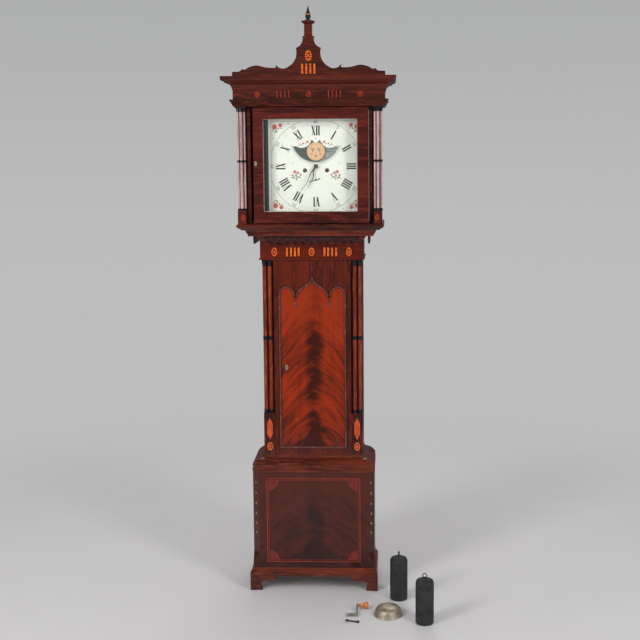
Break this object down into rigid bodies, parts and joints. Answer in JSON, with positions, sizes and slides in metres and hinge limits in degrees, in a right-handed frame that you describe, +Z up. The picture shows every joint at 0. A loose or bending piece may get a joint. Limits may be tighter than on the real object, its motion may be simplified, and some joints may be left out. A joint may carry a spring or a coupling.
{
  "type": "longcase clock",
  "caption": "Tall Gothic longcase clock with a pagoda crest, square moon dial, arched trunk door and an eight-day weight movement, its weights, bell and winding crank standing beside it.",
  "frame": {"origin": "on the floor, midway across the plinth and midway from its front to its back", "axes": "+X to the right of someone facing the dial, +Y to the back, +Z up"},
  "size_m": [0.7665, 0.56, 2.2],
  "materials": {
    "bell_metal": "aged",
    "blued_steel": "dark",
    "brass": "lacquered",
    "dial_iron": "japanned white",
    "ebonised": "ebonised, polished",
    "flame_mahogany": "french polished",
    "glass": "clear",
    "iron": "dark",
    "mahogany": "french polished",
    "pine": "bare, aged",
    "steel": "polished",
    "turned_wood": "polished",
    "weight_black": "matt black"
  },
  "bodies": {
    "case": {"plinth_feet": "mahogany", "plinth_moulding": "mahogany", "plinth_front": "flame_mahogany", "plinth_sides": "mahogany", "plinth_cap_moulding": "mahogany", "backboard": "pine", "trunk_sides": "mahogany", "trunk_front_frame": "mahogany", "trunk_plinth_blocks": "mahogany", "trunk_columns": "mahogany", "trunk_column_rings": "ebonised", "trunk_frieze": "mahogany", "trunk_hinge_leaves": "brass", "throat_moulding": "mahogany", "pendant_leaves": "ebonised", "seatboard": "pine", "dial": "dial_iron", "movement_plates": "brass", "back_cock_and_bell_stand": "brass"},
    "trunk_door": {"trunk_door": "flame_mahogany", "trunk_door_bead": "ebonised", "trunk_door_brasses": "brass"},
    "hood": {"hood_base_moulding": "mahogany", "hood_carcass": "mahogany", "hood_front_frame": "mahogany", "hood_plinth_blocks": "mahogany", "hood_columns": "mahogany", "hood_column_rings": "ebonised", "hood_entablature": "mahogany", "hood_cornice": "mahogany", "hood_crest": "mahogany", "finial_pedestal": "mahogany", "finial": "ebonised"},
    "hood_door": {"hood_door_frame": "mahogany", "hood_door_glass": "glass", "hood_door_brasses": "brass"},
    "centre_arbor": {"centre_arbor": "brass", "minute_hand": "blued_steel"},
    "hour_wheel": {"hour_wheel": "brass", "hour_hand": "blued_steel"},
    "minute_wheel": {"minute_wheel": "brass"},
    "going_barrel": {"going_barrel": "brass"},
    "third_wheel": {"third_wheel": "brass"},
    "escape_wheel": {"escape_wheel": "brass"},
    "pallets": {"pallets": "steel"},
    "pendulum": {"pendulum": "brass"},
    "strike_barrel": {"strike_barrel": "brass"},
    "pin_wheel": {"pin_wheel": "brass"},
    "gathering_wheel": {"gathering_wheel": "brass"},
    "warning_wheel": {"warning_wheel": "brass"},
    "fly": {"fly": "brass"},
    "bell_hammer": {"bell_hammer": "steel"},
    "calendar": {"calendar_hand": "brass"},
    "moon": {"moon_disc": "dial_iron"},
    "weight_left": {"weight_left": "weight_black"},
    "weight_right": {"weight_right": "weight_black"},
    "bell": {"bell": "bell_metal"},
    "crank": {"crank": "iron"},
    "crank_handle": {"crank_handle": "turned_wood"},
    "case_keys": {"case_keys": "iron"}
  },
  "joints": [
    {"name": "trunk_door_hinge", "type": "hinge", "parent": "case", "child": "trunk_door", "pos_m": [0.12875, -0.0738, 0.842], "axis": [0, 0, 1], "range_deg": [0, 100]},
    {"name": "hood_slide", "type": "slide", "parent": "case", "child": "hood", "axis": [0, -1, 0], "range_m": [0, 0.3]},
    {"name": "hood_door_hinge", "type": "hinge", "parent": "hood", "child": "hood_door", "pos_m": [0.214, -0.129, 1.63], "axis": [0, 0, 1], "range_deg": [0, 95]},
    {"name": "minute_turn", "type": "hinge", "parent": "case", "child": "centre_arbor", "pos_m": [0.02, 0, 1.6256], "axis": [0, 1, 0], "continuous": true},
    {"name": "hour_turn", "type": "hinge", "parent": "case", "child": "hour_wheel", "pos_m": [0.02, 0, 1.6256], "axis": [0, 1, 0], "continuous": true},
    {"name": "minute_wheel_turn", "type": "hinge", "parent": "case", "child": "minute_wheel", "pos_m": [0.00635, 0, 1.64924], "axis": [0, 1, 0], "continuous": true},
    {"name": "going_barrel_turn", "type": "hinge", "parent": "case", "child": "going_barrel", "pos_m": [0.061, 0, 1.6106], "axis": [0, 1, 0], "continuous": true},
    {"name": "third_turn", "type": "hinge", "parent": "case", "child": "third_wheel", "pos_m": [0.03638, 0, 1.65145], "axis": [0, 1, 0], "continuous": true},
    {"name": "escape_turn", "type": "hinge", "parent": "case", "child": "escape_wheel", "pos_m": [0.02, 0, 1.6706], "axis": [0, 1, 0], "continuous": true},
    {"name": "strike_barrel_turn", "type": "hinge", "parent": "case", "child": "strike_barrel", "pos_m": [-0.021, 0, 1.6106], "axis": [0, 1, 0], "continuous": true},
    {"name": "pin_wheel_turn", "type": "hinge", "parent": "case", "child": "pin_wheel", "pos_m": [-0.02998, 0, 1.64557], "axis": [0, 1, 0], "continuous": true},
    {"name": "gathering_turn", "type": "hinge", "parent": "case", "child": "gathering_wheel", "pos_m": [-0.01595, 0, 1.66339], "axis": [0, 1, 0], "continuous": true},
    {"name": "warning_turn", "type": "hinge", "parent": "case", "child": "warning_wheel", "pos_m": [-0.02497, 0, 1.68], "axis": [0, 1, 0], "continuous": true},
    {"name": "fly_turn", "type": "hinge", "parent": "case", "child": "fly", "pos_m": [-0.01299, 0, 1.68999], "axis": [0, 1, 0], "continuous": true},
    {"name": "calendar_turn", "type": "hinge", "parent": "case", "child": "calendar", "pos_m": [0.02, 0, 1.5756], "axis": [0, 1, 0], "continuous": true},
    {"name": "moon_turn", "type": "hinge", "parent": "case", "child": "moon", "pos_m": [0.02, 0, 1.7312], "axis": [0, 1, 0], "continuous": true},
    {"name": "pendulum_swing", "type": "hinge", "parent": "case", "child": "pendulum", "pos_m": [0.02, 0.05, 1.6986], "axis": [0, 1, 0], "range_deg": [-3, 3]},
    {"name": "pallet_rock", "type": "hinge", "parent": "case", "child": "pallets", "pos_m": [0.02, 0, 1.6986], "axis": [0, 1, 0], "range_deg": [-3, 3]},
    {"name": "hammer_lift", "type": "hinge", "parent": "case", "child": "bell_hammer", "pos_m": [-0.044, 0, 1.6696], "axis": [0, -1, 0], "range_deg": [0, 8]},
    {"name": "weight_left_lift", "type": "slide", "parent": "case", "child": "weight_left", "axis": [0, 0, 1], "range_m": [0, 0.3]},
    {"name": "weight_right_lift", "type": "slide", "parent": "case", "child": "weight_right", "axis": [0, 0, 1], "range_m": [0, 0.3]},
    {"name": "bell_lift", "type": "slide", "parent": "case", "child": "bell", "axis": [0, 0, 1], "range_m": [0, 0.3]},
    {"name": "crank_lift", "type": "slide", "parent": "case", "child": "crank", "axis": [0, 0, 1], "range_m": [0, 0.3]},
    {"name": "crank_handle_spin", "type": "hinge", "parent": "crank", "child": "crank_handle", "pos_m": [0.173, -0.29346, 0.0135], "axis": [1, 0, 0], "continuous": true},
    {"name": "case_keys_lift", "type": "slide", "parent": "case", "child": "case_keys", "axis": [0, 0, 1], "range_m": [0, 0.3]}
  ],
  "couplings": [
    {"joint": "hour_turn", "follows": "minute_turn", "ratio": 0.083333},
    {"joint": "minute_wheel_turn", "follows": "minute_turn", "ratio": -1},
    {"joint": "going_barrel_turn", "follows": "minute_turn", "ratio": -0.083333},
    {"joint": "third_turn", "follows": "minute_turn", "ratio": -7.5},
    {"joint": "escape_turn", "follows": "minute_turn", "ratio": 60},
    {"joint": "pin_wheel_turn", "follows": "gathering_turn", "ratio": -0.125},
    {"joint": "strike_barrel_turn", "follows": "gathering_turn", "ratio": 0.012821},
    {"joint": "warning_turn", "follows": "gathering_turn", "ratio": -8},
    {"joint": "fly_turn", "follows": "gathering_turn", "ratio": 56},
    {"joint": "pallet_rock", "follows": "pendulum_swing", "ratio": 1}
  ]
}
